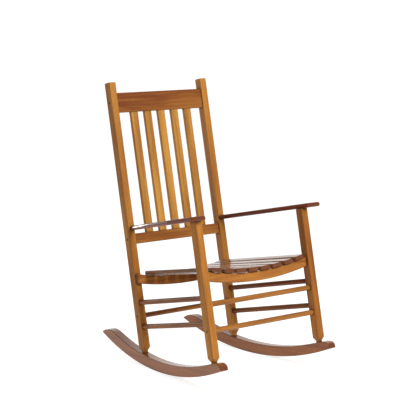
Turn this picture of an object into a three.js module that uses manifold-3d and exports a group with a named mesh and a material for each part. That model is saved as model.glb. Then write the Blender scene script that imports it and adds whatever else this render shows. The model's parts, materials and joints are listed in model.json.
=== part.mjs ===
// Slat-back wooden rocking chair. Millimetres, +Z up, the sitter faces -Y, +X is the sitter's left.
// The origin is on the floor, midway between the rocker tips and between the two sides.
//
// Everything above the rockers is square to the posts, and the posts lean back. Those pieces are
// drawn in the "leaning frame": x sideways, y from front to back, z up along the posts. Its origin
// is the point on the floor where the chair touches down when it rests.
import * as THREE from 'three';
import { mergeVertices } from 'three/addons/utils/BufferGeometryUtils.js';
import Module from 'manifold-3d';

const wasm = await Module();
wasm.setup();

// ---- Driving dimensions -------------------------------------------------------------------

const LEAN = THREE.MathUtils.degToRad(12.1); // posts lean back from upright
const GAP = 0.3; // clearance between pieces that touch

const POST_WIDTH = 32; // across the chair, all four posts
const POST_DEPTH = 36.5; // from front to back
const POST_EDGE_RADIUS = 2.5;
const POST_SPACING = 496.7; // front post axis to back post axis
const BACK_POST_Y = 92.5; // back post axis, behind the touch-down point
const BACK_POST_X = 237.7; // back post axis, out from the centre plane
const FRONT_POST_X = 273.5; // the chair is wider in front
const BACK_POST_TOP = 1191;
const POST_TOP_EASING = 3;

const ROCKER_RADIUS = 1131; // of the underside
const ROCKER_TOP_RADIUS = 1115; // the rockers are a little thicker behind than in front
const ROCKER_TOP_SHIFT = -10.6; // the top's lowest point lies ahead of the touch-down point
const ROCKER_HEIGHT = 44.6; // at the top's lowest point
const ROCKER_WIDTH = 39;
const ROCKER_OUTSET = 3.7; // the rockers' middle lies outside the line of the posts
const ROCKER_FLAT = 1.173; // degrees of arc; the underside is drawn as flats, one on the floor
const ROCKER_FRONT_FLATS = 20.5;
const ROCKER_REAR_FLATS = 18.5;
const ROCKER_EDGE = 2; // width of the broken edges
const ROCKER_FRONT_ROUNDING = 4.7; // degrees of arc over which the top edge rounds down
const ROCKER_REAR_ROUNDING = 5;
const ROCKER_FRONT_SHOULDER = 0.3; // degrees from the tip to where that rounding aims
const ROCKER_REAR_SHOULDER = 1.3;

const NECK_RADIUS = 12; // round tenons under the feet and under the arms
const FOOT_TAPER_HEIGHT = 16; // from square post to round neck
const FOOT_TENON_DEPTH = 24; // how far the foot goes into the rocker
const BACK_TAPER_END = 79.2; // where the neck begins
const FRONT_TAPER_END = 32.7;
const BACK_NECK_LENGTH = 7.5; // neck between the taper and the rocker
const FRONT_NECK_LENGTH = 6;
const ARM_TENON_LENGTH = 12;
const TENON_EASING = 1.5;

const BACK_RAIL_THICKNESS = 24; // crest and lower rail
const BOARD_THICKNESS = 20; // seat rails
const BOARD_EDGE = 2; // width of the seat rails' broken edges
const BOARD_EDGE_RADIUS = 3; // of the crest and the lower rail
const CREST_TOP = 1147.2;
const CREST_HEIGHT = 81.4;
const LOWER_RAIL_TOP = 562.3;
const LOWER_RAIL_HEIGHT = 43.4;
const BACK_RAIL_RECESS = 5.5; // behind the posts' front faces
const TENON_SHOULDER = 4; // a rail's stub tenon is this much thinner on each face
const STUB_TENON_LENGTH = 12;

const BACK_SLAT_COUNT = 5;
const BACK_SLAT_SPACING = 69.6;
const BACK_SLAT_WIDTH = 35;
const BACK_SLAT_THICKNESS = 15.5;
const BACK_SLAT_EDGE_RADIUS = 2;
const BACK_SLAT_TENON = 12; // how far a slat enters each rail

const SEAT_RAIL_HEIGHT = 37.5;
const SEAT_DISH_RADIUS = 1190; // how the seat rails sag towards the middle
const REAR_SEAT_RAIL_TOP = 369.2; // at the middle of the dish
const FRONT_SEAT_RAIL_TOP = 350.5;
const REAR_SEAT_RAIL_LENGTH = 500;
const FRONT_SEAT_RAIL_RECESS = 11;

const SEAT_SLAT_COUNT = 8;
const SEAT_SLAT_WIDTH = 46;
const SEAT_SLAT_THICKNESS = 17;
const SEAT_SLAT_EDGE_RADIUS = 5;
const SEAT_SLAT_REAR_SPACING = 52.6;
const SEAT_SLAT_FRONT_SPACING = 61.5; // the slats fan out to the front
const SEAT_SLAT_LIFT = 0.9; // lets the flat slats clear the curved rails
const SEAT_SLAT_OVERHANG = 9; // ahead of the front rail
const SEAT_SLAT_SETBACK = 8; // ahead of the rear rail's rear face

const ARM_BOTTOM = 573.6; // at the front posts
const ARM_RISE = 2.4; // from the front posts to the back posts
const ARM_THICKNESS = 18.5;
const ARM_FRONT_OVERHANG = 36; // ahead of the front posts
const ARM_ROUNDING = 8;
const ARM_CORNER = 1.5; // of the flat faces; the rounding adds to it
const ARM_WIDTH = { rear: 24, bend: 50, front: 72 };
const ARM_BEND = 145; // ahead of the rear end, where the outer edge turns
const ARM_FULL_WIDTH = 350; // ahead of the rear end, where the arm is as wide as in front

const STRETCHER_RADIUS = 10.4;
const STRETCHER_SOCKET = 14; // how deep a stretcher enters a post
const STICK_SEGMENTS = 24;
const SIDE_STRETCHER_HEIGHTS = { lower: 178.2, upper: 278 };
const FRONT_STRETCHER_HEIGHTS = { lower: 151.1, upper: 251.6 };
const REAR_STRETCHER_HEIGHT = 222.9;

const PEG_RADIUS = 4;
const PEG_EASING = 0.8;
const PEG_SEGMENTS = 12;
const PEG_DEPTH_IN_RAIL = 22;
const PEG_RECESS = 0.5; // a peg's head lies just under the surface
const DOWEL_DEPTH_IN_POST = 22;
const DOWEL_DEPTH_IN_ARM = 28;
const DOWEL_DEPTH_IN_RAIL = 13;
const HOLE_OVERRUN = 30; // how far a tenon's hole is drilled past the surface it opens in

// ---- Places worked out from them ------------------------------------------------------------

const ROCKER_FRONT_ANGLE = ROCKER_FLAT * ROCKER_FRONT_FLATS;
const ROCKER_REAR_ANGLE = ROCKER_FLAT * ROCKER_REAR_FLATS;
const FLAT_SAG = ROCKER_RADIUS * (1 - Math.cos(THREE.MathUtils.degToRad(ROCKER_FLAT / 2)));

const FRONT_POST_Y = BACK_POST_Y - POST_SPACING;
const BACK_POST_FRONT_FACE = BACK_POST_Y - POST_DEPTH / 2;
const BACK_POST_INNER_FACE = BACK_POST_X - POST_WIDTH / 2;
const FRONT_POST_FRONT_FACE = FRONT_POST_Y - POST_DEPTH / 2;
const FRONT_POST_INNER_FACE = FRONT_POST_X - POST_WIDTH / 2;
const ARM_SLOPE = Math.atan2(ARM_RISE, POST_SPACING);
const FRONT_POST_SHOULDER = ARM_BOTTOM - GAP;
const FRONT_POST_TENON_TOP = FRONT_POST_SHOULDER + ARM_TENON_LENGTH;
const BACK_TENON_END = BACK_TAPER_END - BACK_NECK_LENGTH - FOOT_TENON_DEPTH;
const FRONT_TENON_END = FRONT_TAPER_END - FRONT_NECK_LENGTH - FOOT_TENON_DEPTH;
const BACK_RAIL_Y = BACK_POST_FRONT_FACE + BACK_RAIL_RECESS + BACK_RAIL_THICKNESS / 2;
const CREST_MIDDLE = CREST_TOP - CREST_HEIGHT / 2;
const LOWER_RAIL_MIDDLE = LOWER_RAIL_TOP - LOWER_RAIL_HEIGHT / 2;
const FRONT_SEAT_RAIL_Y = FRONT_POST_FRONT_FACE + FRONT_SEAT_RAIL_RECESS + BOARD_THICKNESS / 2;
const FRONT_SEAT_RAIL_END = FRONT_POST_INNER_FACE - GAP;
const REAR_SEAT_RAIL_Y = BACK_POST_FRONT_FACE - GAP - BOARD_THICKNESS / 2;
const SPLAY = (FRONT_POST_X - BACK_POST_X) / POST_SPACING; // sideways per millimetre forwards

const SIDES = [
  { name: 'right', sign: -1 },
  { name: 'left', sign: 1 },
];

// ---- Solids ---------------------------------------------------------------------------------

// A manifold solid from any closed three.js geometry, leaving out triangles that have no area.
function solidOf(geometry) {
  const bare = geometry.clone();
  bare.deleteAttribute('normal');
  bare.deleteAttribute('uv');
  const welded = mergeVertices(bare, 1e-4);
  const corners = welded.index.array;
  const triangles = [];
  for (let i = 0; i < corners.length; i += 3) {
    const [a, b, c] = corners.slice(i, i + 3);
    if (a !== b && b !== c && c !== a) triangles.push(a, b, c);
  }
  const mesh = new wasm.Mesh({
    numProp: 3,
    vertProperties: new Float32Array(welded.attributes.position.array),
    triVerts: new Uint32Array(triangles),
  });
  return new wasm.Manifold(mesh);
}

function geometryOf(solid) {
  const mesh = solid.getMesh();
  const geometry = new THREE.BufferGeometry();
  geometry.setAttribute('position', new THREE.BufferAttribute(mesh.vertProperties, 3));
  geometry.setIndex(new THREE.BufferAttribute(mesh.triVerts, 1));
  geometry.computeVertexNormals();
  return geometry;
}

function cut(solid, tools) {
  return tools.reduce((rest, tool) => rest.subtract(tool), solid);
}

// ---- Outlines and basic bodies --------------------------------------------------------------

function roundedRectangle(width, height, radius) {
  const x = width / 2;
  const y = height / 2;
  const shape = new THREE.Shape();
  shape.moveTo(x, -y + radius);
  shape.lineTo(x, y - radius);
  shape.absarc(x - radius, y - radius, radius, 0, Math.PI / 2);
  shape.lineTo(-x + radius, y);
  shape.absarc(-x + radius, y - radius, radius, Math.PI / 2, Math.PI);
  shape.lineTo(-x, -y + radius);
  shape.absarc(-x + radius, -y + radius, radius, Math.PI, 1.5 * Math.PI);
  shape.lineTo(x - radius, -y);
  shape.absarc(x - radius, -y + radius, radius, 1.5 * Math.PI, 2 * Math.PI);
  return shape;
}

// A straight board centred on the origin; its rounded section is drawn across its length.
// It runs along z until it is turned.
function board(width, thickness, length, radius = BOARD_EDGE_RADIUS) {
  const geometry = new THREE.ExtrudeGeometry(roundedRectangle(width, thickness, radius), {
    depth: length,
    bevelEnabled: false,
    curveSegments: 2,
  });
  return geometry.translate(0, 0, -length / 2);
}

// A round stick centred on the origin and running along z, its ends eased.
function stick(radius, length, easing = TENON_EASING, segments = STICK_SEGMENTS) {
  const end = length / 2;
  const profile = [
    new THREE.Vector2(0, -end),
    new THREE.Vector2(radius - easing, -end),
    new THREE.Vector2(radius, -end + easing),
    new THREE.Vector2(radius, end - easing),
    new THREE.Vector2(radius - easing, end),
    new THREE.Vector2(0, end),
  ];
  return new THREE.LatheGeometry(profile, segments).rotateX(Math.PI / 2);
}

// Turns a body that runs along z so that it runs from one point to another.
function along(geometry, from, to) {
  const direction = to.clone().sub(from).normalize();
  const turn = new THREE.Quaternion().setFromUnitVectors(new THREE.Vector3(0, 0, 1), direction);
  const middle = from.clone().add(to).multiplyScalar(0.5);
  return geometry.applyQuaternion(turn).translate(middle.x, middle.y, middle.z);
}

// ---- Rockers --------------------------------------------------------------------------------

// Points along an arc that is open above; angles in degrees, 0 at its lowest point, rear positive.
function arcPoints(centre, radius, from, to, flats) {
  return Array.from({ length: flats + 1 }, (_, step) => {
    const angle = THREE.MathUtils.degToRad(from + ((to - from) * step) / flats);
    return new THREE.Vector2(Math.sin(angle), -Math.cos(angle)).multiplyScalar(radius).add(centre);
  });
}

// Side outline: x backwards, y up from the floor, with the touch-down point at the origin. The top
// edge of each end is rounded down to a point.
function rockerOutline() {
  const topFlats = 20;
  const roundingFlats = 8;
  const underside = new THREE.Vector2(0, ROCKER_RADIUS);
  const top = new THREE.Vector2(ROCKER_TOP_SHIFT, ROCKER_HEIGHT + ROCKER_TOP_RADIUS);
  const front = -ROCKER_FRONT_ANGLE;
  const rear = ROCKER_REAR_ANGLE;
  const frontTop = front + ROCKER_FRONT_ROUNDING;
  const rearTop = rear - ROCKER_REAR_ROUNDING;
  const onTop = (angle) => arcPoints(top, ROCKER_TOP_RADIUS, angle, angle, 1)[0];
  const flats = ROCKER_FRONT_FLATS + ROCKER_REAR_FLATS;

  const below = arcPoints(underside, ROCKER_RADIUS, front, rear, flats);
  const above = arcPoints(top, ROCKER_TOP_RADIUS, rearTop, frontTop, topFlats);
  const rearRounding = new THREE.QuadraticBezierCurve(
    below.at(-1),
    onTop(rear - ROCKER_REAR_SHOULDER),
    above[0],
  );
  const frontRounding = new THREE.QuadraticBezierCurve(
    above.at(-1),
    onTop(front + ROCKER_FRONT_SHOULDER),
    below[0],
  );
  const inside = (curve) => curve.getPoints(roundingFlats).slice(1, -1);
  return new THREE.Shape([...below, ...inside(rearRounding), ...above, ...inside(frontRounding)]);
}

// How far behind the touch-down point the rocker's middle lies.
function rockerMiddle() {
  const rearReach = Math.sin(THREE.MathUtils.degToRad(ROCKER_REAR_ANGLE));
  const frontReach = Math.sin(THREE.MathUtils.degToRad(ROCKER_FRONT_ANGLE));
  return (ROCKER_RADIUS * (rearReach - frontReach)) / 2;
}

// Drawn standing on the floor, then tipped into the leaning frame.
function rockerBody(sign) {
  const geometry = new THREE.ExtrudeGeometry(rockerOutline(), {
    depth: ROCKER_WIDTH - 2 * ROCKER_EDGE,
    bevelThickness: ROCKER_EDGE,
    bevelSize: ROCKER_EDGE,
    bevelOffset: -ROCKER_EDGE,
    bevelSegments: 1,
  });
  geometry.translate(0, 0, ROCKER_EDGE - ROCKER_WIDTH / 2);
  const backwards = new THREE.Vector3(0, 1, 0);
  const up = new THREE.Vector3(0, 0, 1);
  const sideways = new THREE.Vector3(1, 0, 0);
  geometry.applyMatrix4(new THREE.Matrix4().makeBasis(backwards, up, sideways));
  geometry.rotateZ(sign * Math.atan(SPLAY / Math.cos(LEAN)));
  geometry.translate(sign * (BACK_POST_X + SPLAY * BACK_POST_Y + ROCKER_OUTSET), 0, 0);
  return solidOf(geometry.rotateX(LEAN));
}

// ---- Posts ----------------------------------------------------------------------------------

// Everything a post may fill: a round tenon and neck below, a cone that cuts the foot's taper, and
// at the top either an eased end or a round tenon for the arm.
function postEnvelope({ tenonEnd, taperEnd, shoulder, top }) {
  const reach = Math.hypot(POST_WIDTH, POST_DEPTH) / 2; // past the post's rounded corners
  const tenonTip = NECK_RADIUS - TENON_EASING;
  const profile = [
    new THREE.Vector2(0, tenonEnd),
    new THREE.Vector2(tenonTip, tenonEnd),
    new THREE.Vector2(NECK_RADIUS, tenonEnd + TENON_EASING),
    new THREE.Vector2(NECK_RADIUS, taperEnd),
    new THREE.Vector2(reach, taperEnd + FOOT_TAPER_HEIGHT),
  ];
  if (shoulder === undefined) {
    profile.push(new THREE.Vector2(reach, top - POST_TOP_EASING));
    profile.push(new THREE.Vector2(reach - POST_TOP_EASING, top));
  } else {
    profile.push(new THREE.Vector2(reach, shoulder));
    profile.push(new THREE.Vector2(NECK_RADIUS, shoulder));
    profile.push(new THREE.Vector2(NECK_RADIUS, top - TENON_EASING));
    profile.push(new THREE.Vector2(tenonTip, top));
  }
  profile.push(new THREE.Vector2(0, top));
  return new THREE.LatheGeometry(profile, STICK_SEGMENTS).rotateX(Math.PI / 2);
}

function postBody(x, y, heights) {
  const { tenonEnd, top } = heights;
  const bar = board(POST_WIDTH, POST_DEPTH, top - tenonEnd + 2 * GAP, POST_EDGE_RADIUS);
  bar.translate(x, y, (top + tenonEnd) / 2);
  return solidOf(bar).intersect(solidOf(postEnvelope(heights).translate(x, y, 0)));
}

const backPostBody = (sign) =>
  postBody(sign * BACK_POST_X, BACK_POST_Y, {
    tenonEnd: BACK_TENON_END,
    taperEnd: BACK_TAPER_END,
    top: BACK_POST_TOP,
  });

const frontPostBody = (sign) =>
  postBody(sign * FRONT_POST_X, FRONT_POST_Y, {
    tenonEnd: FRONT_TENON_END,
    taperEnd: FRONT_TAPER_END,
    shoulder: FRONT_POST_SHOULDER,
    top: FRONT_POST_TENON_TOP,
  });

// The round hole a foot or an arm tenon goes into.
function tenonHole(x, y, bottom, top) {
  const hole = stick(NECK_RADIUS + GAP, top - bottom);
  return solidOf(hole.translate(x, y, (top + bottom) / 2));
}

// ---- Back rails and slats -------------------------------------------------------------------

// A cross board between the back posts with a stub tenon at each end; `slack` grows the tenons
// into the matching mortises.
function backRailBody(middle, height, slack = 0) {
  const tenonWidth = BACK_RAIL_THICKNESS - 2 * TENON_SHOULDER + 2 * slack;
  const tenonHeight = height - 4 * TENON_SHOULDER + 2 * slack;
  const span = 2 * (BACK_POST_INNER_FACE - GAP);
  const tenonSpan = span + 2 * (STUB_TENON_LENGTH + slack);
  const tenons = new THREE.BoxGeometry(tenonSpan, tenonWidth, tenonHeight);
  tenons.translate(0, BACK_RAIL_Y, middle);
  if (slack > 0) return solidOf(tenons);
  const rail = board(height, BACK_RAIL_THICKNESS, span).rotateY(Math.PI / 2);
  rail.translate(0, BACK_RAIL_Y, middle);
  return solidOf(rail).add(solidOf(tenons));
}

function backSlatBody(index, slack = 0) {
  const bottom = LOWER_RAIL_TOP - BACK_SLAT_TENON - slack;
  const top = CREST_TOP - CREST_HEIGHT + BACK_SLAT_TENON + slack;
  const width = BACK_SLAT_WIDTH + 2 * slack;
  const thickness = BACK_SLAT_THICKNESS + 2 * slack;
  const slat = board(width, thickness, top - bottom, BACK_SLAT_EDGE_RADIUS);
  const x = (index - (BACK_SLAT_COUNT - 1) / 2) * BACK_SLAT_SPACING;
  return solidOf(slat.translate(x, BACK_RAIL_Y, (top + bottom) / 2));
}

// ---- Seat -----------------------------------------------------------------------------------

// Height of a dished rail's top above its middle, at a distance x from the centre plane.
function dishRise(x) {
  return SEAT_DISH_RADIUS - Math.sqrt(SEAT_DISH_RADIUS ** 2 - x ** 2);
}

// A rail cut from a flat board along two parallel arcs, its ends square.
function dishedRail(halfLength, top, y) {
  const reach = Math.asin(halfLength / SEAT_DISH_RADIUS);
  const down = -Math.PI / 2;
  const outer = SEAT_DISH_RADIUS + SEAT_RAIL_HEIGHT;
  const outerReach = Math.asin(halfLength / outer);
  const shape = new THREE.Shape();
  shape.absarc(0, 0, outer, down - outerReach, down + outerReach);
  shape.absarc(0, 0, SEAT_DISH_RADIUS, down + reach, down - reach, true);
  const geometry = new THREE.ExtrudeGeometry(shape, {
    depth: BOARD_THICKNESS - 2 * BOARD_EDGE,
    bevelThickness: BOARD_EDGE,
    bevelSize: BOARD_EDGE,
    bevelOffset: -BOARD_EDGE,
    bevelSegments: 1,
    curveSegments: 10,
  });
  geometry.translate(0, 0, BOARD_EDGE - BOARD_THICKNESS / 2).rotateX(Math.PI / 2);
  return geometry.translate(0, y, top + SEAT_DISH_RADIUS);
}

// The front rail's two stub tenons, or with `slack` the mortises they sit in. Each is rooted in the
// rail as deep as it sticks out.
function frontSeatTenons(slack = 0) {
  const tenon = new THREE.BoxGeometry(
    2 * (STUB_TENON_LENGTH + slack),
    BOARD_THICKNESS - 2 * TENON_SHOULDER + 2 * slack,
    SEAT_RAIL_HEIGHT / 2 + 2 * slack,
  );
  const middle = FRONT_SEAT_RAIL_TOP + dishRise(FRONT_SEAT_RAIL_END) - SEAT_RAIL_HEIGHT / 2;
  tenon.translate(0, FRONT_SEAT_RAIL_Y, middle);
  const tenons = SIDES.map(({ sign }) =>
    solidOf(tenon.clone().translate(sign * FRONT_SEAT_RAIL_END, 0, 0)),
  );
  return tenons[0].add(tenons[1]);
}

function frontSeatRailBody() {
  const rail = dishedRail(FRONT_SEAT_RAIL_END, FRONT_SEAT_RAIL_TOP, FRONT_SEAT_RAIL_Y);
  return solidOf(rail).add(frontSeatTenons());
}

function rearSeatRailBody() {
  return solidOf(dishedRail(REAR_SEAT_RAIL_LENGTH / 2, REAR_SEAT_RAIL_TOP, REAR_SEAT_RAIL_Y));
}

// One straight slat, laid across both rails and rolled to follow the dish.
function seatSlatBody(index) {
  const place = index - (SEAT_SLAT_COUNT - 1) / 2;
  const rearX = place * SEAT_SLAT_REAR_SPACING;
  const frontX = place * SEAT_SLAT_FRONT_SPACING;
  const rear = new THREE.Vector3(rearX, REAR_SEAT_RAIL_Y, REAR_SEAT_RAIL_TOP + dishRise(rearX));
  const front = new THREE.Vector3(frontX, FRONT_SEAT_RAIL_Y, FRONT_SEAT_RAIL_TOP + dishRise(frontX));
  const frontReach = BOARD_THICKNESS / 2 + SEAT_SLAT_OVERHANG;
  const rearReach = BOARD_THICKNESS / 2 - SEAT_SLAT_SETBACK;
  const length = rear.distanceTo(front) + frontReach + rearReach;
  const roll = Math.asin((rearX + frontX) / 2 / SEAT_DISH_RADIUS);

  const forwards = front.clone().sub(rear).normalize();
  const sideways = new THREE.Vector3(-Math.sin(roll), 0, Math.cos(roll)).cross(forwards).normalize();
  const up = forwards.clone().cross(sideways);
  const middle = rear.clone().add(front).multiplyScalar(0.5);
  middle.addScaledVector(forwards, (frontReach - rearReach) / 2);
  middle.addScaledVector(up, SEAT_SLAT_THICKNESS / 2 + SEAT_SLAT_LIFT);

  const slat = board(SEAT_SLAT_WIDTH, SEAT_SLAT_THICKNESS, length, SEAT_SLAT_EDGE_RADIUS);
  slat.applyMatrix4(new THREE.Matrix4().makeBasis(sideways, up, forwards));
  return solidOf(slat.translate(middle.x, middle.y, middle.z));
}

// ---- Arms -----------------------------------------------------------------------------------

// Core of the left arm in plan, which the rounded edge then grows on all sides. Its inner edge runs
// straight along the posts' inner faces; its outer edge widens in two straight steps to the front.
function armCore() {
  const rear = BACK_POST_FRONT_FACE - GAP - ARM_ROUNDING;
  const front = FRONT_POST_FRONT_FACE - ARM_FRONT_OVERHANG + ARM_ROUNDING;
  const bend = rear - ARM_BEND;
  const fullWidth = rear - ARM_FULL_WIDTH;
  const inner = (y) => BACK_POST_INNER_FACE + ARM_ROUNDING + SPLAY * (BACK_POST_Y - y);
  const outer = (y, width) => inner(y) + width - 2 * ARM_ROUNDING;
  const shape = new THREE.Shape();
  shape.moveTo(inner(rear) + ARM_CORNER, rear);
  shape.lineTo(inner(rear), rear - ARM_CORNER);
  shape.lineTo(inner(front), front + ARM_CORNER);
  shape.lineTo(inner(front) + ARM_CORNER, front);
  shape.lineTo(outer(front, ARM_WIDTH.front) - ARM_CORNER, front);
  shape.lineTo(outer(front, ARM_WIDTH.front), front + ARM_CORNER);
  shape.lineTo(outer(fullWidth, ARM_WIDTH.front), fullWidth);
  shape.lineTo(outer(bend, ARM_WIDTH.bend), bend);
  shape.lineTo(outer(rear, ARM_WIDTH.rear), rear - ARM_CORNER);
  shape.lineTo(outer(rear, ARM_WIDTH.rear) - ARM_CORNER, rear);
  return shape;
}

// Drawn level with its underside at the front post, then tipped by the arm's slope.
function armBody(sign) {
  const geometry = new THREE.ExtrudeGeometry(armCore(), {
    depth: ARM_THICKNESS - 2 * ARM_ROUNDING,
    bevelThickness: ARM_ROUNDING,
    bevelSize: ARM_ROUNDING,
    bevelSegments: 3,
  });
  geometry.translate(0, -FRONT_POST_Y, ARM_ROUNDING).rotateX(ARM_SLOPE);
  const arm = solidOf(geometry.translate(0, FRONT_POST_Y, ARM_BOTTOM));
  return sign > 0 ? arm : arm.mirror([1, 0, 0]);
}

// ---- Stretchers and pegs ----------------------------------------------------------------------

// A round stretcher between two post axes. Its ends stop in their sockets, which are measured from
// the posts' near faces. With `slack` it is the pair of sockets instead.
function stretcherBody(from, to, postDepth, slack) {
  const direction = to.clone().sub(from).normalize();
  const inset = postDepth / 2 - STRETCHER_SOCKET - slack;
  const start = from.clone().addScaledVector(direction, inset);
  const end = to.clone().addScaledVector(direction, -inset);
  return solidOf(along(stick(STRETCHER_RADIUS + slack, start.distanceTo(end)), start, end));
}

function sideStretcher(sign, height, slack = 0) {
  const rear = new THREE.Vector3(sign * BACK_POST_X, BACK_POST_Y, height);
  const front = new THREE.Vector3(sign * FRONT_POST_X, FRONT_POST_Y, height);
  return stretcherBody(rear, front, POST_DEPTH, slack);
}

function crossStretcher(x, y, height, slack = 0) {
  const right = new THREE.Vector3(-x, y, height);
  const left = new THREE.Vector3(x, y, height);
  return stretcherBody(right, left, POST_WIDTH, slack);
}

// A peg from its tip to its head. With `slack` it is the hole instead, which goes on past the head
// so that it opens cleanly.
function pegBody(tip, head, slack) {
  const outwards = head.clone().sub(tip).normalize();
  const start = tip.clone().addScaledVector(outwards, -slack);
  const end = slack > 0 ? head.clone().addScaledVector(outwards, 2 * PEG_RADIUS) : head;
  const peg = stick(PEG_RADIUS + slack, start.distanceTo(end), PEG_EASING, PEG_SEGMENTS);
  return solidOf(along(peg, start, end));
}

// A peg driven through a post's outer face into the end of a rail or stretcher.
function sidePeg(sign, x, y, height, slack = 0) {
  const at = (out) => new THREE.Vector3(sign * (x + out), y, height);
  const halfPost = POST_WIDTH / 2;
  return pegBody(at(-halfPost - PEG_DEPTH_IN_RAIL), at(halfPost - PEG_RECESS), slack);
}

const pegs = SIDES.flatMap(({ name, sign }) => [
  {
    name: `crest_rail_peg_${name}`,
    body: (slack) => sidePeg(sign, BACK_POST_X, BACK_RAIL_Y, CREST_MIDDLE, slack),
    through: [`back_post_${name}`, 'crest_rail'],
  },
  {
    name: `lower_back_rail_peg_${name}`,
    body: (slack) => sidePeg(sign, BACK_POST_X, BACK_RAIL_Y, LOWER_RAIL_MIDDLE, slack),
    through: [`back_post_${name}`, 'lower_back_rail'],
  },
  {
    name: `rear_stretcher_peg_${name}`,
    body: (slack) => sidePeg(sign, BACK_POST_X, BACK_POST_Y, REAR_STRETCHER_HEIGHT, slack),
    through: [`back_post_${name}`, 'rear_stretcher'],
  },
  {
    name: `lower_front_stretcher_peg_${name}`,
    body: (slack) => sidePeg(sign, FRONT_POST_X, FRONT_POST_Y, FRONT_STRETCHER_HEIGHTS.lower, slack),
    through: [`front_post_${name}`, 'lower_front_stretcher'],
  },
]);

// A blind dowel across the front face of a back post. Both its ends are buried, so its hole stops
// just past them.
function blindDowel(x, height, depthInFront, slack) {
  const front = BACK_POST_FRONT_FACE - depthInFront - slack;
  const rear = BACK_POST_FRONT_FACE + DOWEL_DEPTH_IN_POST + slack;
  const dowel = stick(PEG_RADIUS + slack, rear - front, PEG_EASING, PEG_SEGMENTS);
  dowel.rotateX(Math.PI / 2).translate(x, (front + rear) / 2, height);
  return solidOf(dowel);
}

const ARM_DOWEL_X = BACK_POST_INNER_FACE + ARM_WIDTH.rear / 2;
const ARM_DOWEL_HEIGHT = ARM_BOTTOM + ARM_RISE + ARM_THICKNESS / 2;
const RAIL_DOWEL_HEIGHT = REAR_SEAT_RAIL_TOP + dishRise(BACK_POST_X) - SEAT_RAIL_HEIGHT / 2;

const dowels = SIDES.flatMap(({ name, sign }) => [
  {
    name: `arm_dowel_${name}`,
    body: (slack) => blindDowel(sign * ARM_DOWEL_X, ARM_DOWEL_HEIGHT, DOWEL_DEPTH_IN_ARM, slack),
    through: [`arm_${name}`, `back_post_${name}`],
  },
  {
    name: `rear_seat_rail_dowel_${name}`,
    body: (slack) => blindDowel(sign * BACK_POST_X, RAIL_DOWEL_HEIGHT, DOWEL_DEPTH_IN_RAIL, slack),
    through: ['rear_seat_rail', `back_post_${name}`],
  },
]);

// ---- The pieces ---------------------------------------------------------------------------------

const WOOD = {
  post: 0xb4762f,
  rail: 0xa8672c,
  slat: 0xb87a30,
  arm: 0x7d3b22,
  rocker: 0x97602f,
  seat: 0xb98348,
  stretcher: 0x8e5a2e,
  peg: 0x6b3a1f,
};

const pieces = new Map();

function addPiece(name, body, wood) {
  pieces.set(name, { body, wood });
}

for (const { name, sign } of SIDES) {
  const backX = sign * BACK_POST_X;
  const frontX = sign * FRONT_POST_X;
  const backFoot = tenonHole(backX, BACK_POST_Y, BACK_TENON_END - GAP, BACK_TAPER_END + HOLE_OVERRUN);
  const frontFoot = tenonHole(frontX, FRONT_POST_Y, FRONT_TENON_END - GAP, FRONT_TAPER_END + HOLE_OVERRUN);
  addPiece(`rocker_${name}`, cut(rockerBody(sign), [backFoot, frontFoot]), WOOD.rocker);

  const sideSockets = Object.values(SIDE_STRETCHER_HEIGHTS).map((height) =>
    sideStretcher(sign, height, GAP),
  );
  const backMortises = [
    backRailBody(CREST_MIDDLE, CREST_HEIGHT, GAP),
    backRailBody(LOWER_RAIL_MIDDLE, LOWER_RAIL_HEIGHT, GAP),
    crossStretcher(BACK_POST_X, BACK_POST_Y, REAR_STRETCHER_HEIGHT, GAP),
    ...sideSockets,
  ];
  addPiece(`back_post_${name}`, cut(backPostBody(sign), backMortises), WOOD.post);

  const frontMortises = [
    frontSeatTenons(GAP),
    ...Object.values(FRONT_STRETCHER_HEIGHTS).map((height) =>
      crossStretcher(FRONT_POST_X, FRONT_POST_Y, height, GAP),
    ),
    ...sideSockets,
  ];
  addPiece(`front_post_${name}`, cut(frontPostBody(sign), frontMortises), WOOD.post);

  const armHole = tenonHole(frontX, FRONT_POST_Y, ARM_BOTTOM - HOLE_OVERRUN, FRONT_POST_TENON_TOP + GAP);
  addPiece(`arm_${name}`, cut(armBody(sign), [armHole]), WOOD.arm);

  for (const [level, height] of Object.entries(SIDE_STRETCHER_HEIGHTS)) {
    addPiece(`${level}_side_stretcher_${name}`, sideStretcher(sign, height), WOOD.stretcher);
  }
}

const slatNumbers = Array.from({ length: BACK_SLAT_COUNT }, (_, index) => index);
const slatMortises = slatNumbers.map((index) => backSlatBody(index, GAP));
addPiece('crest_rail', cut(backRailBody(CREST_MIDDLE, CREST_HEIGHT), slatMortises), WOOD.rail);
addPiece(
  'lower_back_rail',
  cut(backRailBody(LOWER_RAIL_MIDDLE, LOWER_RAIL_HEIGHT), slatMortises),
  WOOD.rail,
);
for (const index of slatNumbers) {
  addPiece(`back_slat_${index + 1}`, backSlatBody(index), WOOD.slat);
}

addPiece('front_seat_rail', frontSeatRailBody(), WOOD.post);
addPiece('rear_seat_rail', rearSeatRailBody(), WOOD.rail);
for (let index = 0; index < SEAT_SLAT_COUNT; index += 1) {
  addPiece(`seat_slat_${index + 1}`, seatSlatBody(index), WOOD.seat);
}

for (const [level, height] of Object.entries(FRONT_STRETCHER_HEIGHTS)) {
  const body = crossStretcher(FRONT_POST_X, FRONT_POST_Y, height);
  addPiece(`${level}_front_stretcher`, body, WOOD.post);
}
addPiece(
  'rear_stretcher',
  crossStretcher(BACK_POST_X, BACK_POST_Y, REAR_STRETCHER_HEIGHT),
  WOOD.stretcher,
);

for (const pin of [...pegs, ...dowels]) {
  for (const holder of pin.through) {
    const piece = pieces.get(holder);
    piece.body = piece.body.subtract(pin.body(GAP));
  }
  addPiece(pin.name, pin.body(0), WOOD.peg);
}

// ---- Assembly -----------------------------------------------------------------------------------

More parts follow.
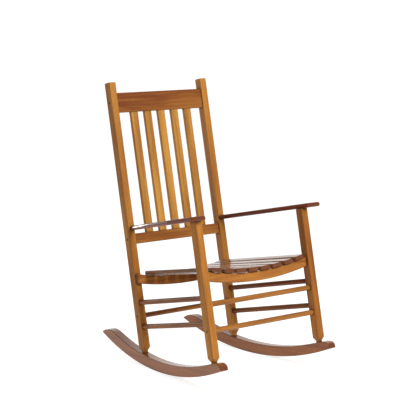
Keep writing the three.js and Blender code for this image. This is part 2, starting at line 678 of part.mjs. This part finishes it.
const leaningFrame = new THREE.Group();
leaningFrame.name = 'leaning_frame';
leaningFrame.rotation.x = -LEAN;
leaningFrame.position.set(0, -rockerMiddle(), -FLAT_SAG);

for (const [name, { body, wood }] of pieces) {
  const material = new THREE.MeshStandardMaterial({ color: wood, roughness: 0.35, metalness: 0 });
  const mesh = new THREE.Mesh(geometryOf(body), material);
  mesh.name = name;
  leaningFrame.add(mesh);
}

const rockingChair = new THREE.Group();
rockingChair.name = 'rocking_chair';
rockingChair.add(leaningFrame);

export default rockingChair;
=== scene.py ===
import json
import math
import random

import bmesh
import bpy
from mathutils import Matrix, Vector


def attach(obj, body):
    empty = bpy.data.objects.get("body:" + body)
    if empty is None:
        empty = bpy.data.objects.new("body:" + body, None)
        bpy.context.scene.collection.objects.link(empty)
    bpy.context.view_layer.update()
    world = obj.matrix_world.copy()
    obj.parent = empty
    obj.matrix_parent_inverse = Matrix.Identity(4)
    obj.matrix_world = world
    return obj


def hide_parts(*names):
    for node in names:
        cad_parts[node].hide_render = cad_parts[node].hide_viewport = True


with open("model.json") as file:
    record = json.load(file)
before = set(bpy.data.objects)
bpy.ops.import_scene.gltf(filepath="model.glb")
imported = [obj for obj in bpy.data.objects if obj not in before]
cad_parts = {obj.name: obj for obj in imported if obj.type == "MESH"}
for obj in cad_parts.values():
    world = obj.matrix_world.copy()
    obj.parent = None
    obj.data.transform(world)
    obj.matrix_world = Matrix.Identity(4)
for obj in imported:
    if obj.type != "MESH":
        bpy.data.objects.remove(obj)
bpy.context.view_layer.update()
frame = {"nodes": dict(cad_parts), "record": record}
nodes = frame["nodes"]
slot_of = {part["node"]: part["material_slot"] for part in frame["record"]["subparts"]}

MM = 0.001

# ---- Pieces ---------------------------------------------------------------------------------------

WELD_DISTANCE = 0.01 * MM
FLAT = math.radians(0.3)  # faces that meet more flatly than this become one
SHARP = math.radians(48)  # an edge sharper than this gets sanded
EDGE_WIDTH = 0.9 * MM  # broken corner left by sanding
SMALLEST_SANDED_FACE = 90 * MM * MM  # the walls of round holes are smaller, and keep crisp rims
ROUND = math.radians(38)  # faces that meet more flatly than this belong to one rounded surface

# Large faces that meet by more than the bend angle are flats with a crisp line between them. Where
# that line is longer than the bend width they belong to a broad curve, which stays smooth.
BEND = math.radians(3)
BEND_WIDTH = 12 * MM
LARGE_FACE = 150 * MM * MM


def is_bend(edge):
    """Whether two flats meet end to end here, as where an arm's side turns."""
    large_faces = min(face.calc_area() for face in edge.link_faces) > LARGE_FACE
    return large_faces and edge.calc_length() < BEND_WIDTH and edge.calc_face_angle() > BEND


def is_corner(edge):
    """Whether sanding breaks this edge."""
    return (
        len(edge.link_faces) == 2
        and edge.calc_face_angle() > SHARP
        and min(face.calc_area() for face in edge.link_faces) > SMALLEST_SANDED_FACE
    )


def is_smooth(edge):
    """Whether the shading runs on over this edge."""
    return len(edge.link_faces) == 2 and edge.calc_face_angle() < ROUND and not is_bend(edge)


def sanded_mesh(node):
    """A copy of a CAD node's mesh with merged faces and softly broken corners."""
    mesh = bmesh.new()
    mesh.from_mesh(nodes[node].data)
    bmesh.ops.remove_doubles(mesh, verts=mesh.verts, dist=WELD_DISTANCE)
    bmesh.ops.dissolve_limit(
        mesh,
        angle_limit=FLAT,
        verts=mesh.verts,
        edges=mesh.edges,
        use_dissolve_boundaries=False,
    )
    bmesh.ops.bevel(
        mesh,
        geom=[edge for edge in mesh.edges if is_corner(edge)],
        offset=EDGE_WIDTH,
        segments=2,
        profile=0.5,
        affect="EDGES",
        clamp_overlap=True,
    )
    for face in mesh.faces:
        face.smooth = True
    for edge in mesh.edges:
        edge.smooth = is_smooth(edge)
    data = bpy.data.meshes.new(node + "_wood")
    mesh.to_mesh(data)
    mesh.free()
    return data


AXIS_ROUNDS = 30  # the search for a piece's long axis has settled well before this
LEVEL = 0.5  # a direction that rises less than this counts as level

# Where in its tree a piece's plank was sawn, in metres: up or down the trunk, out from its middle,
# and to one side.
SAWN_UP = (-2.0, 2.0)
SAWN_OUT = (0.05, 0.11)
SAWN_ASIDE = (-0.02, 0.02)


def long_axis(points, centre):
    """Direction in which a piece is longest."""
    offsets = [point - centre for point in points]
    axis = max(offsets, key=lambda offset: offset.length)
    for _ in range(AXIS_ROUNDS):
        axis = sum((offset * offset.dot(axis) for offset in offsets), Vector()).normalized()
    return axis


def level_across(along):
    """A direction across the grain, level where it can be."""
    across = along.orthogonal().normalized()
    if abs(across.z) < LEVEL:
        return across
    return along.cross(across).normalized()


def add_grain(data, seed, tone_and_painted_shade):
    """Gives each corner its place in the plank the piece was sawn from: x along the grain, y and z
    across it, with the tree's middle on the x axis. `along` is the grain's direction in the chair and
    the last argument the plank's own tone together with any painted shade."""
    chance = random.Random(seed)
    points = [vertex.co.copy() for vertex in data.vertices]
    centre = sum(points, Vector()) / len(points)
    along = long_axis(points, centre)
    across = level_across(along)
    through = along.cross(across)
    turn = Matrix.Rotation(chance.uniform(0, 2 * math.pi), 3, "X")
    sawn = Vector((chance.uniform(*SAWN_UP), chance.uniform(*SAWN_OUT), chance.uniform(*SAWN_ASIDE)))
    grain = data.attributes.new("grain", "FLOAT_VECTOR", "POINT")
    for place, point in zip(grain.data, points):
        local = point - centre
        place.vector = turn @ Vector((local.dot(along), local.dot(across), local.dot(through))) + sawn
    axis = data.attributes.new("along", "FLOAT_VECTOR", "POINT")
    for place in axis.data:
        place.vector = along
    shade = data.attributes.new("tone_and_painted_shade", "FLOAT", "POINT")
    for place in shade.data:
        place.value = tone_and_painted_shade


def add_piece(node, seed, material):
    """Puts a finished wooden copy in the place of a CAD node."""
    data = sanded_mesh(node)
    add_grain(data, seed, TONES_AND_PAINTED_SHADE.get(node, 0.0))
    data.materials.append(material)
    piece = bpy.data.objects.new(node + "_wood", data)
    bpy.context.scene.collection.objects.link(piece)
    normals = piece.modifiers.new("even_normals", "WEIGHTED_NORMAL")
    normals.keep_sharp = True
    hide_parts(node)
    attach(piece, "root")


# ---- Shader wiring --------------------------------------------------------------------------------


class Tree:
    """Short calls for wiring a shader. An input is a number, a vector or another node's socket."""

    MIX_COLORS = (6, 7)  # the colour sockets of a Mix node
    MIX_RESULT = 2

    def __init__(self, owner):
        owner.use_nodes = True
        self.nodes = owner.node_tree.nodes
        self.links = owner.node_tree.links
        self.nodes.clear()

    def put(self, socket, value):
        if isinstance(value, bpy.types.NodeSocket):
            self.links.new(value, socket)
        else:
            socket.default_value = value

    def add(self, kind, inputs=None, **settings):
        node = self.nodes.new(kind)
        for name, value in settings.items():
            setattr(node, name, value)
        for name, value in (inputs or {}).items():
            self.put(node.inputs[name], value)
        return node

    def attribute(self, name):
        return self.add("ShaderNodeAttribute", attribute_name=name).outputs

    def math(self, operation, a, b=0.0):
        return self.add("ShaderNodeMath", {0: a, 1: b}, operation=operation).outputs[0]

    def vector(self, operation, a, b=(0.0, 0.0, 0.0)):
        """Vector arithmetic, which gives a number for a dot product or a length."""
        node = self.add("ShaderNodeVectorMath", {0: a, 1: b}, operation=operation)
        return node.outputs["Value" if operation in ("DOT_PRODUCT", "LENGTH") else "Vector"]

    def mix(self, factor, a, b):
        """A colour that goes from `a` to `b` as the factor goes from 0 to 1."""
        node = self.add("ShaderNodeMix", {0: factor}, data_type="RGBA")
        for socket, color in zip(self.MIX_COLORS, (a, b)):
            opaque = (*color, 1) if isinstance(color, tuple) else color
            self.put(node.inputs[socket], opaque)
        return node.outputs[self.MIX_RESULT]

    def ramp(self, factor, stops):
        """A number read off a line through the stops, each a factor and its value."""
        node = self.add("ShaderNodeValToRGB", {0: factor})
        elements = node.color_ramp.elements
        while len(elements) < len(stops):
            elements.new(0.5)
        for element, (position, value) in zip(elements, stops):
            element.position = position
            element.color = (value, value, value, 1)
        return node.outputs[0]

    def fade(self, value, start, end, first, last):
        """Goes smoothly from `first` to `last` as the value goes from `start` to `end`."""
        node = self.add(
            "ShaderNodeMapRange",
            {0: value, 1: start, 2: end, 3: first, 4: last},
            interpolation_type="SMOOTHSTEP",
        )
        return node.outputs[0]

    def noise(self, place, scale, detail):
        """Smooth noise with `scale` lumps to the metre in each direction."""
        stretched = self.add("ShaderNodeMapping", {"Vector": place, "Scale": scale}).outputs[0]
        return self.add("ShaderNodeTexNoise", {"Vector": stretched, "Scale": 1.0, "Detail": detail}).outputs


# ---- Wood -----------------------------------------------------------------------------------------

# Lumps to the metre, along the grain and across it.
CLOUDS = (2.5, 14, 14)
STREAKS = (2.2, 70, 70)
FIBRES = (14, 520, 520)
PORES = (95, 1500, 1500)
RINGS_PER_METRE = 170.0

MIDDLE = 0.5  # every pattern's average
GRAIN_SWAY = 12 * MM  # how far the grain wanders sideways
TREE_TAPER = 0.03  # how much a metre along the grain counts in a ring's radius, so that rings taper

# How strongly each pattern moves the wood between its pale and its deep colour.
RING_STRENGTH = 0.35
FIBRE_STRENGTH = 0.45
CLOUD_STRENGTH = 1.3
STREAK_STRENGTH = 1.1
PORE_STRENGTH = 0.45
USUAL_DEPTH = 0.4  # 0 is a kind's pale colour, 1 its deep one

# Ramps: pairs of a pattern's value, or the cosine of an angle, and how much it counts there.
ONE_YEAR = [(0.0, 0.35), (0.55, 0.5), (0.86, 1.0), (1.0, 0.35)]
PORE_RANGE = [(0.34, 1.0), (0.42, 0.0)]
PAINTED_CORNER_SHADE_RANGE = [(0.92, 1.0), (0.995, 0.0)]
PAINTED_NOOK_SHADE_RANGE = [(0.45, 0.75), (0.9, 0.0)]
END_START = 0.45
END_FULL = 0.8

# Painted shade along the sanded corners: how far the rounding reaches and how strongly it darkens.
PAINTED_CORNER_SHADE_REACH = 2.5 * MM
PAINTED_CORNER_SHADE_STRENGTH = 0.7
# Painted shade in the joints: how far the ambient occlusion looks for nearby wood.
PAINTED_NOOK_SHADE_REACH = 12 * MM
END_GRAIN = (0.12, 0.032, 0.01)

# What is left of the deep colour in the pores, and in the painted shade along the corners and in the nooks.
PORE_SHADE = 0.35
PAINTED_CORNER_SHADE_SHARE = 0.6
PAINTED_NOOK_SHADE_SHARE = 0.3

FIBRE_HEIGHT = 0.5  # as a share of the pores' depth
RELIEF = 0.2 * MM
RELIEF_STRENGTH = 0.12
ROUGHNESS_SPREAD = 0.16
VARNISH_IOR = 1.5


def darkened(tree, amount, color, deep, share):
    return tree.mix(amount, color, tuple(share * channel for channel in deep))


def bent_grain(tree, grain, drift):
    """The places in the plank, shifted so that the grain sways."""
    sway = tree.vector("SUBTRACT", drift, (MIDDLE, MIDDLE, MIDDLE))
    sway = tree.vector("MULTIPLY", sway, (GRAIN_SWAY, GRAIN_SWAY, GRAIN_SWAY))
    return tree.vector("ADD", grain, sway)


def growth_rings(tree, bent):
    """Pale wood that ends in a dark line, every year."""
    tapered = tree.vector("MULTIPLY", bent, (TREE_TAPER, 1, 1))
    years = tree.math("MULTIPLY", tree.vector("LENGTH", tapered), RINGS_PER_METRE)
    return tree.ramp(tree.math("FRACT", years), ONE_YEAR)


def wood_depth(tree, patterns):
    """How deep the wood's colour is, from the plank's own tone, with any painted shade, and its patterns.
    """
    depth = tree.math("ADD", tree.attribute("tone_and_painted_shade")["Fac"], USUAL_DEPTH)
    for pattern, strength in patterns:
        change = tree.math("MULTIPLY", tree.math("SUBTRACT", pattern, MIDDLE), strength)
        depth = tree.math("ADD", depth, change)
    return tree.math("MINIMUM", tree.math("MAXIMUM", depth, 0.0), 1.0)


def with_end_grain(tree, color, facing, end_strength):
    """Darkens the sawn ends, which soak up the stain."""
    along = tree.attribute("along")["Vector"]
    square = tree.math("ABSOLUTE", tree.vector("DOT_PRODUCT", facing, along))
    ends = tree.ramp(square, [(END_START, 0.0), (END_FULL, end_strength)])
    return tree.mix(ends, color, END_GRAIN)


def with_painted_corner_shade(tree, color, facing, deep):
    """Paints shade along the sanded corners, as dark outlines on the rounded edges."""
    rounded = tree.add("ShaderNodeBevel", {"Radius": PAINTED_CORNER_SHADE_REACH}, samples=4).outputs[0]
    corner = tree.ramp(tree.vector("DOT_PRODUCT", rounded, facing), PAINTED_CORNER_SHADE_RANGE)
    return darkened(tree, tree.math("MULTIPLY", corner, PAINTED_CORNER_SHADE_STRENGTH), color, deep, PAINTED_CORNER_SHADE_SHARE)


def with_painted_nook_shade(tree, color, deep):
    """Paints shade in the joints and nooks, where the ambient occlusion finds nearby wood."""
    openness = tree.add("ShaderNodeAmbientOcclusion", {"Distance": PAINTED_NOOK_SHADE_REACH}, samples=8).outputs["AO"]
    return darkened(tree, tree.ramp(openness, PAINTED_NOOK_SHADE_RANGE), color, deep, PAINTED_NOOK_SHADE_SHARE)


def wood(name, pale, deep, roughness=0.45, gloss=0.12, coat=0.15, coat_roughness=0.2, end_strength=0.85):
    """Varnished hardwood: growth rings, long fibres and dark pores, all along the grain."""
    material = bpy.data.materials.new(name)
    tree = Tree(material)
    grain = tree.attribute("grain")["Vector"]
    cloud = tree.noise(grain, CLOUDS, detail=2.0)
    bent = bent_grain(tree, grain, cloud["Color"])
    fibre = tree.noise(bent, FIBRES, detail=3.0)["Fac"]
    streak = tree.noise(bent, STREAKS, detail=2.0)["Fac"]
    pores = tree.ramp(tree.noise(bent, PORES, detail=1.0)["Fac"], PORE_RANGE)

    patterns = (
        (growth_rings(tree, bent), RING_STRENGTH),
        (fibre, FIBRE_STRENGTH),
        (cloud["Fac"], CLOUD_STRENGTH),
        (streak, STREAK_STRENGTH),
    )
    color = tree.mix(wood_depth(tree, patterns), pale, deep)
    color = darkened(tree, tree.math("MULTIPLY", pores, PORE_STRENGTH), color, deep, PORE_SHADE)
    facing = tree.add("ShaderNodeNewGeometry").outputs["Normal"]
    color = with_end_grain(tree, color, facing, end_strength)
    # Painted shade along the corners and in the nooks.
    color = with_painted_corner_shade(tree, color, facing, deep)
    color = with_painted_nook_shade(tree, color, deep)

    height = tree.math("SUBTRACT", tree.math("MULTIPLY", fibre, FIBRE_HEIGHT), pores)
    relief = {"Height": height, "Strength": RELIEF_STRENGTH, "Distance": RELIEF}
    smoothest = roughness - MIDDLE * ROUGHNESS_SPREAD
    surface = tree.add(
        "ShaderNodeBsdfPrincipled",
        {
            "Base Color": color,
            "Roughness": tree.math("ADD", smoothest, tree.math("MULTIPLY", fibre, ROUGHNESS_SPREAD)),
            "Normal": tree.add("ShaderNodeBump", relief).outputs[0],
            "Specular IOR Level": gloss,
            "Coat Weight": coat,
            "Coat Roughness": coat_roughness,
            "Coat IOR": VARNISH_IOR,
        },
    )
    tree.add("ShaderNodeOutputMaterial", {"Surface": surface.outputs[0]})
    return material


POST = {"pale": (0.47, 0.195, 0.03), "deep": (0.19, 0.05, 0.008)}
RAIL = {"pale": (0.45, 0.185, 0.033), "deep": (0.17, 0.043, 0.009)}
BACK_SLAT = {"pale": (0.57, 0.27, 0.05), "deep": (0.24, 0.08, 0.012)}
SEAT_SLAT = {"pale": (0.32, 0.13, 0.03), "deep": (0.10, 0.03, 0.008)}
ARM = {"pale": (0.20, 0.04, 0.01), "deep": (0.08, 0.014, 0.004)}
ROCKER = {"pale": (0.35, 0.11, 0.014), "deep": (0.15, 0.038, 0.006)}
STRETCHER = {"pale": (0.41, 0.17, 0.03), "deep": (0.14, 0.037, 0.008)}
PEG = {"pale": (0.14, 0.05, 0.025), "deep": (0.06, 0.02, 0.01)}

WOODS = {
    "post_wood": wood("post_wood", **POST),
    "rail_wood": wood("rail_wood", **RAIL, coat=0.06, end_strength=0.3),
    "back_slat_wood": wood("back_slat_wood", **BACK_SLAT),
    "seat_slat_wood": wood("seat_slat_wood", **SEAT_SLAT, coat=0.75, coat_roughness=0.12),
    "arm_wood": wood("arm_wood", **ARM, gloss=0.05, coat=0.45, coat_roughness=0.03),
    "rocker_wood": wood("rocker_wood", **ROCKER, gloss=0.08, coat=0.75, coat_roughness=0.08),
    "stretcher_wood": wood("stretcher_wood", **STRETCHER),
    "peg_wood": wood("peg_wood", **PEG, roughness=0.5),
}

# How much darker (or, below 0, paler) a piece is than most of its kind: partly the planks' own tone, partly
# painted shade, as on the rear seat rail.
TONES_AND_PAINTED_SHADE = {
    "front_post_left": 0.25,
    "front_post_right": -0.15,
    "back_post_left": -0.2,
    "back_post_right": 0.02,
    "crest_rail": 0.33,
    "lower_back_rail": 0.2,
    "back_slat_1": 0.06,
    "back_slat_3": -0.25,
    "back_slat_5": 0.22,
    # Painted shade: the rear seat rail is darkened for the shadow of the seat above it.
    "rear_seat_rail": 0.3,
    "seat_slat_1": 0.35,
    "lower_front_stretcher": -0.1,
    "upper_front_stretcher": 0.12,
    "rear_stretcher": 0.18,
    "lower_side_stretcher_right": 0.28,
    "upper_side_stretcher_right": 0.5,
    "lower_side_stretcher_left": 0.55,
    "upper_side_stretcher_left": 0.55,
}

for seed, node in enumerate(sorted(nodes)):
    add_piece(node, seed, WOODS[slot_of[node]])

# ---- Floor ----------------------------------------------------------------------------------------

FLOOR_HALF_WIDTH = 150
FLOOR_GREY = (0.45, 0.45, 0.45, 1)
WHITE = (1, 1, 1, 1)

# The floor glows in a band that runs under the chair from its front right to its rear left, and
# widens on the way. Its sides follow two lines through the chair's middle, at these angles from
# straight back, and the glow fades between these distances outside them.
BAND_LEFT = math.radians(30.34)
BAND_RIGHT = math.radians(47.07)
BAND_EDGE = 0.95
BAND_END = 2.0
BAND_GLOW = 0.8
OUTER_GLOW = 0.33


def pale_floor():
    """A matt floor that glows."""
    material = bpy.data.materials.new("pale_floor")
    tree = Tree(material)
    place = tree.add("ShaderNodeNewGeometry").outputs["Position"]
    left = tree.vector("DOT_PRODUCT", place, (-math.cos(BAND_LEFT), math.sin(BAND_LEFT), 0.0))
    right = tree.vector("DOT_PRODUCT", place, (math.cos(BAND_RIGHT), -math.sin(BAND_RIGHT), 0.0))
    outside = tree.math("MAXIMUM", left, right)
    surface = tree.add(
        "ShaderNodeBsdfPrincipled",
        {
            "Base Color": FLOOR_GREY,
            "Roughness": 0.9,
            "Specular IOR Level": 0.1,
            "Emission Color": WHITE,
            "Emission Strength": tree.fade(outside, BAND_EDGE, BAND_END, BAND_GLOW, OUTER_GLOW),
        },
    )
    tree.add("ShaderNodeOutputMaterial", {"Surface": surface.outputs[0]})
    return material


def add_floor():
    mesh = bmesh.new()
    bmesh.ops.create_grid(mesh, x_segments=1, y_segments=1, size=FLOOR_HALF_WIDTH)
    data = bpy.data.meshes.new("floor")
    mesh.to_mesh(data)
    mesh.free()
    data.materials.append(pale_floor())
    floor = bpy.data.objects.new("floor", data)
    bpy.context.scene.collection.objects.link(floor)


# ---- Light ----------------------------------------------------------------------------------------

# The studio's white wall is behind the chair, to the sitter's left. It fades into the dim rest of
# the studio between these angles from its middle.
WALL_DIRECTION = (0.626, 0.78, 0.0)
WALL_CORE = math.cos(math.radians(21.6))
WALL_EDGE = math.cos(math.radians(72.5))
WALL_BRIGHTNESS = 1.25
STUDIO_BRIGHTNESS = 0.36


def add_studio():
    world = bpy.data.worlds.new("studio")
    bpy.context.scene.world = world
    tree = Tree(world)
    direction = tree.add("ShaderNodeTexCoord").outputs["Generated"]
    towards_wall = tree.vector("DOT_PRODUCT", direction, WALL_DIRECTION)
    brightness = tree.fade(towards_wall, WALL_EDGE, WALL_CORE, STUDIO_BRIGHTNESS, WALL_BRIGHTNESS)
    background = tree.add("ShaderNodeBackground", {"Color": WHITE, "Strength": brightness})
    tree.add("ShaderNodeOutputWorld", {"Surface": background.outputs[0]})


def add_softbox(name, place, aim, size, power):
    light = bpy.data.lights.new(name, "AREA")
    light.shape = "RECTANGLE"
    light.size, light.size_y = size
    light.energy = power
    lamp = bpy.data.objects.new(name, light)
    lamp.location = place
    lamp.rotation_euler = (Vector(aim) - Vector(place)).to_track_quat("-Z", "Y").to_euler()
    bpy.context.scene.collection.objects.link(lamp)


# ---- Camera ---------------------------------------------------------------------------------------

CAMERA_DISTANCE = 5.788
CAMERA_YAW = math.radians(-38.74)  # negative: from the sitter's right
CAMERA_PITCH = math.radians(-8.40)
CAMERA_LENS = 122.46
CAMERA_SENSOR = 36
CAMERA_SIGHT = 1000
AIM_HEIGHT = 0.6421
AIM_DEPTH = 0.0115


def add_camera():
    camera = bpy.data.objects.new("camera", bpy.data.cameras.new("camera"))
    bpy.context.scene.collection.objects.link(camera)
    camera.data.lens = CAMERA_LENS
    camera.data.sensor_width = CAMERA_SENSOR
    camera.data.clip_end = CAMERA_SIGHT
    camera.rotation_euler = (math.pi / 2 + CAMERA_PITCH, 0, CAMERA_YAW)
    forwards = camera.rotation_euler.to_matrix() @ Vector((0, 0, -1))
    aim = Vector((0, AIM_DEPTH, AIM_HEIGHT))
    camera.location = aim - CAMERA_DISTANCE * forwards
    bpy.context.scene.camera = camera


add_floor()
add_studio()
add_softbox("key", place=(0.2, -3.7, 3.1), aim=(0, 0, 0.6), size=(1.4, 1.4), power=180)
add_softbox("strip", place=(-0.38, 3.5, 0.6), aim=(-0.3, 0, 0.6), size=(0.4, 1.15), power=30)
add_camera()
bpy.context.scene.view_settings.view_transform = "Standard"
